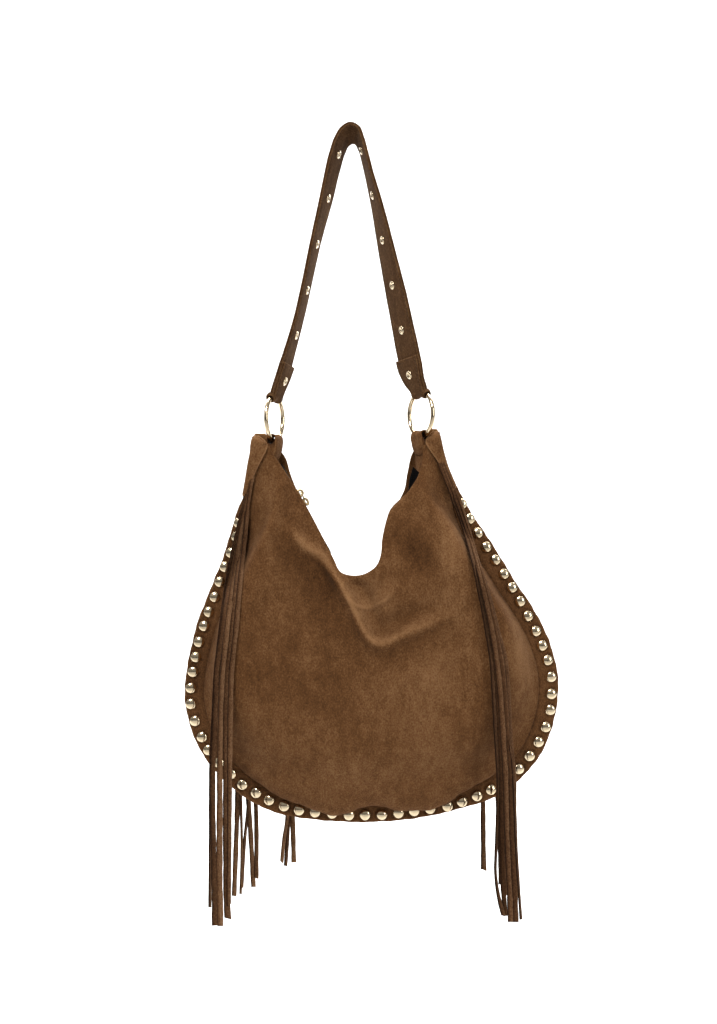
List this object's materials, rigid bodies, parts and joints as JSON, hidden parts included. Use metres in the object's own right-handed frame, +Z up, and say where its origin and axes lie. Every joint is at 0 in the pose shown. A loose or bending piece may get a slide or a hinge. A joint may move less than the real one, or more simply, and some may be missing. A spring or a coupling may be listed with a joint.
{
  "type": "fringed suede shoulder bag",
  "caption": "Slouchy suede shoulder bag with a sagging zip mouth, a flat studded rim, hanging fringes and one riveted strap on metal rings.",
  "frame": {"origin": "underside of the strap's highest point, where a hook carries it", "axes": "+Z up, the bag hanging; +X to the right in the front view; the front of the bag faces -Y"},
  "size_m": [0.374, 0.1142, 0.7833],
  "materials": {
    "suede": "matt napped suede",
    "suede_dark": "matt napped suede",
    "lining": "plain woven",
    "zip_tape": "woven tape",
    "gold": "polished pale gold plate"
  },
  "bodies": {
    "strap": {"strap": "suede", "strap_rivet_left_1": "gold", "strap_rivet_left_2": "gold", "strap_rivet_left_3": "gold", "strap_rivet_left_4": "gold", "strap_rivet_left_5": "gold", "strap_rivet_left_6": "gold", "strap_rivet_right_1": "gold", "strap_rivet_right_2": "gold", "strap_rivet_right_3": "gold", "strap_rivet_right_4": "gold", "strap_rivet_right_5": "gold", "strap_rivet_right_6": "gold"},
    "ring_left": {"ring_left": "gold"},
    "ring_right": {"ring_right": "gold"},
    "bag": {"front_panel": "suede", "back_panel": "suede", "rim_band": "suede_dark", "lining": "lining", "zip_tape_front": "zip_tape", "zip_tape_back": "zip_tape", "ring_tab_left": "suede", "ring_tab_right": "suede", "ear_flap_left": "suede", "ear_flap_right": "suede", "fringe_front_left": "suede", "fringe_front_right": "suede", "fringe_rear_left": "suede", "fringe_rear_right": "suede"},
    "zip_slider": {"zip_slider": "gold"},
    "zip_puller": {"zip_puller": "gold"}
  },
  "joints": [
    {"name": "bag_swing", "type": "hinge", "parent": "strap", "child": "bag", "pos_m": [-0.0775, 0, -0.2835], "axis": [0.9996, 0, 0.0273], "range_deg": [-30, 30]},
    {"name": "ring_left_turn", "type": "hinge", "parent": "strap", "child": "ring_left", "pos_m": [-0.0775, 0, -0.2835], "axis": [0.9478, -0.319, 0], "continuous": true},
    {"name": "ring_right_turn", "type": "hinge", "parent": "strap", "child": "ring_right", "pos_m": [0.069, 0, -0.2795], "axis": [0.8704, 0.4924, 0], "continuous": true},
    {"name": "zip_slide", "type": "slide", "parent": "bag", "child": "zip_slider", "axis": [0.4867, 0, -0.8736], "range_m": [0, 0.06]},
    {"name": "zip_puller_flip", "type": "hinge", "parent": "zip_slider", "child": "zip_puller", "pos_m": [-0.05103, 0, -0.3574], "axis": [0, -1, 0], "range_deg": [0, 170]}
  ]
}
